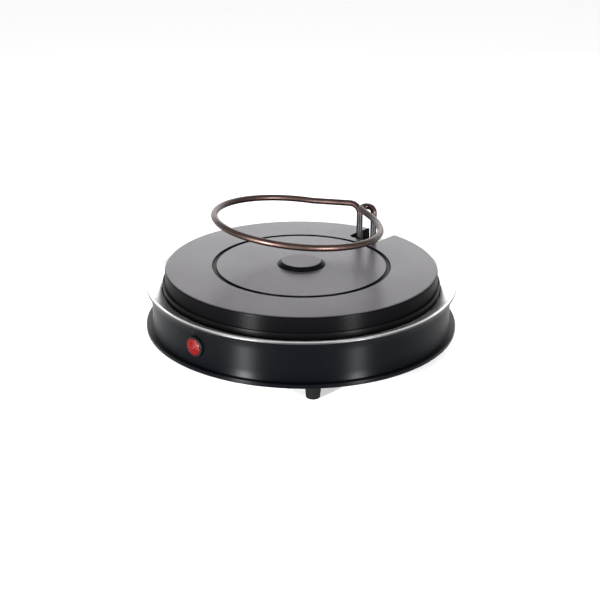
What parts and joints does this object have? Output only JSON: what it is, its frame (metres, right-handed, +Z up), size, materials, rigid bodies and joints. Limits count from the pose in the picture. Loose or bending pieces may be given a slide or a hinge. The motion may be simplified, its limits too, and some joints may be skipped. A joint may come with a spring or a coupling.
{
  "type": "hot plate burner",
  "caption": "Round electric baking hot plate: notched non-stick plate on a waisted black drum, bright pan and a ring heating element standing over the plate on two legs.",
  "frame": {"origin": "on the floor under the middle of the round base", "axes": "+Z up, -Y towards the front with the pilot lamp, +Y towards the back with the element's legs and the cord gland, +X to the right seen from the front"},
  "size_m": [0.3128, 0.3128, 0.1264],
  "materials": {
    "black_enamel": "semi-gloss black enamel",
    "black_plastic": "moulded heat-resistant plastic",
    "brass_screw": "turned brass",
    "bright_pan": "bright polished pressed sheet",
    "bulb_glass": "clear glass envelope",
    "carrier_black": "satin black enamel",
    "ceramic_bush": "glazed steatite ceramic",
    "earth_lead": "silicone sleeved wire",
    "element_sheath": "heat-tinted oxidised steel sheath",
    "foot_rubber": "matt moulded rubber",
    "fuse_sleeve": "woven glass-fibre sleeve",
    "insulation": "pressed mineral fibre board",
    "lead_sleeve": "silicone and glass-fibre sleeved wire",
    "nickel_pin": "nickel-plated steel",
    "nonstick_plate": "satin dark non-stick coating on cast aluminium",
    "red_lens": "translucent red, faceted",
    "sensor_case": "moulded phenolic case",
    "zinc_steel": "zinc-plated steel"
  },
  "bodies": {
    "base": {"block_screws": "zinc_steel", "bottom_cover": "black_enamel", "bracket_screws": "zinc_steel", "carrier_screws": "zinc_steel", "cord_gland": "black_plastic", "cover_screws": "zinc_steel", "earth_nut": "zinc_steel", "earth_stud": "zinc_steel", "earth_tag": "zinc_steel", "element_support_back_left": "zinc_steel", "element_support_back_right": "zinc_steel", "element_support_front_left": "zinc_steel", "element_support_front_right": "zinc_steel", "foot_back_left": "foot_rubber", "foot_back_right": "foot_rubber", "foot_front_left": "foot_rubber", "foot_front_right": "foot_rubber", "foot_nuts": "zinc_steel", "foot_screws": "zinc_steel", "fuse_clip": "zinc_steel", "fuse_screw": "zinc_steel", "gland_nut": "black_plastic", "insulation_board": "insulation", "lamp_bezel": "black_plastic", "lamp_clip": "zinc_steel", "lamp_lens": "red_lens", "lead_block_to_coil_right": "lead_sleeve", "lead_block_to_right_leg": "lead_sleeve", "lead_earth": "earth_lead", "lead_lamp_left": "lead_sleeve", "lead_leg_to_fuse": "lead_sleeve", "lower_bush_left": "ceramic_bush", "lower_bush_right": "ceramic_bush", "lower_element": "element_sheath", "lower_element_pins": "nickel_pin", "neon_bulb": "bulb_glass", "pan_screws": "zinc_steel", "plate_carrier": "carrier_black", "reflector_pan": "bright_pan", "side_wall": "black_enamel", "support_screws": "zinc_steel", "terminal_block": "ceramic_bush", "terminal_screws": "brass_screw", "thermal_fuse": "fuse_sleeve", "thermostat": "sensor_case", "thermostat_bracket": "zinc_steel", "thermostat_nuts": "zinc_steel", "thermostat_screws": "zinc_steel", "tie_pillar_back_left": "zinc_steel", "tie_pillar_back_right": "zinc_steel", "tie_pillar_front_left": "zinc_steel", "tie_pillar_front_right": "zinc_steel", "upper_bush_left": "ceramic_bush", "upper_bush_right": "ceramic_bush", "upper_element": "element_sheath", "upper_element_bracket": "zinc_steel", "upper_element_pins": "nickel_pin", "upper_leg_collars": "zinc_steel"},
    "plate": {"baking_plate": "nonstick_plate"}
  },
  "joints": [
    {"name": "plate_lift", "type": "slide", "parent": "base", "child": "plate", "axis": [0, 0, 1], "range_m": [0, 0.022]}
  ]
}
